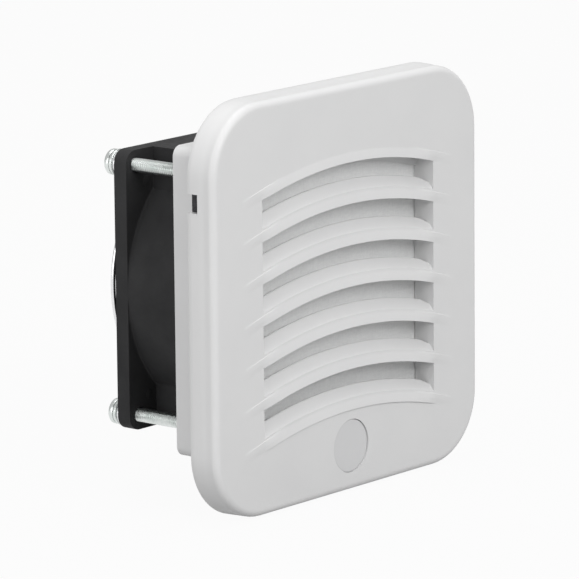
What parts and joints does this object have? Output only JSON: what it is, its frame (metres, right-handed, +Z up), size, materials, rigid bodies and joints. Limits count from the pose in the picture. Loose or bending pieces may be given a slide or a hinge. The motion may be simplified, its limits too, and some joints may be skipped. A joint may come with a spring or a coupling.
{
  "type": "enclosure filter fan",
  "caption": "Filter fan for an enclosure wall: pull-off louvred cover over a filter mat, a snap-in base frame, and an axial fan with a wire finger guard.",
  "frame": {"origin": "centre of the panel cut-out, in the plane of the panel's front face on which the base frame's flange rests", "axes": "+X right as seen from the front, +Y into the enclosure, +Z up"},
  "size_m": [0.1164, 0.0593, 0.1164],
  "materials": {
    "cover_plastic": "fine satin moulded plastic, pale grey",
    "frame_plastic": "fine satin moulded plastic, pale grey",
    "badge": "bare satin disc",
    "foam": "dark foamed seal",
    "fleece": "white filter fleece",
    "black_metal": "black paint on a die-cast housing",
    "black_plastic": "black glass-filled plastic",
    "white_plastic": "natural nylon",
    "brass": "plain brass",
    "bronze": "sintered bronze",
    "copper": "enamelled copper wire",
    "core_steel": "electrical steel",
    "bright_steel": "ground steel",
    "spring_steel": "dark spring steel",
    "chrome_wire": "bright plated wire",
    "zinc": "bright zinc plating"
  },
  "bodies": {
    "frame": {"base_frame": "frame_plastic", "panel_gasket": "foam", "filter_mat": "fleece", "fan_housing": "black_metal", "bearing_tube": "brass", "front_sleeve": "bronze", "rear_sleeve": "bronze", "oil_cap": "black_plastic", "stator_core": "core_steel", "coil_former": "white_plastic", "stator_coils": "copper", "thrust_washer": "white_plastic", "terminal_block": "black_plastic", "terminal_tabs": "brass", "finger_guard": "chrome_wire", "fan_screws": "zinc", "spring_washers": "zinc", "flat_washers": "zinc", "captive_nuts": "zinc"},
    "cover": {"front_cover": "cover_plastic", "badge_disc": "badge"},
    "rotor": {"impeller": "black_plastic", "rotor_cup": "core_steel", "shaft": "bright_steel", "retaining_ring": "spring_steel"},
    "top_left_latch": {"latch_top_left": "frame_plastic"},
    "top_right_latch": {"latch_top_right": "frame_plastic"},
    "bottom_left_latch": {"latch_bottom_left": "frame_plastic"},
    "bottom_right_latch": {"latch_bottom_right": "frame_plastic"}
  },
  "joints": [
    {"name": "rotor_spin", "type": "hinge", "parent": "frame", "child": "rotor", "pos_m": [0, 0.0249, -0.0005], "axis": [0, 1, 0], "continuous": true},
    {"name": "cover_pull", "type": "slide", "parent": "frame", "child": "cover", "axis": [0, -1, 0], "range_m": [0, 0.03]},
    {"name": "top_left_latch_flex", "type": "hinge", "parent": "frame", "child": "top_left_latch", "pos_m": [-0.022, 0.01595, 0.04233], "axis": [1, 0, 0], "range_deg": [0, 6], "stiffness_Nm_per_rad": 0.1},
    {"name": "top_right_latch_flex", "type": "hinge", "parent": "frame", "child": "top_right_latch", "pos_m": [0.022, 0.01595, 0.04233], "axis": [1, 0, 0], "range_deg": [0, 6], "stiffness_Nm_per_rad": 0.1},
    {"name": "bottom_left_latch_flex", "type": "hinge", "parent": "frame", "child": "bottom_left_latch", "pos_m": [-0.022, 0.01595, -0.04233], "axis": [-1, 0, 0], "range_deg": [0, 6], "stiffness_Nm_per_rad": 0.1},
    {"name": "bottom_right_latch_flex", "type": "hinge", "parent": "frame", "child": "bottom_right_latch", "pos_m": [0.022, 0.01595, -0.04233], "axis": [-1, 0, 0], "range_deg": [0, 6], "stiffness_Nm_per_rad": 0.1}
  ]
}
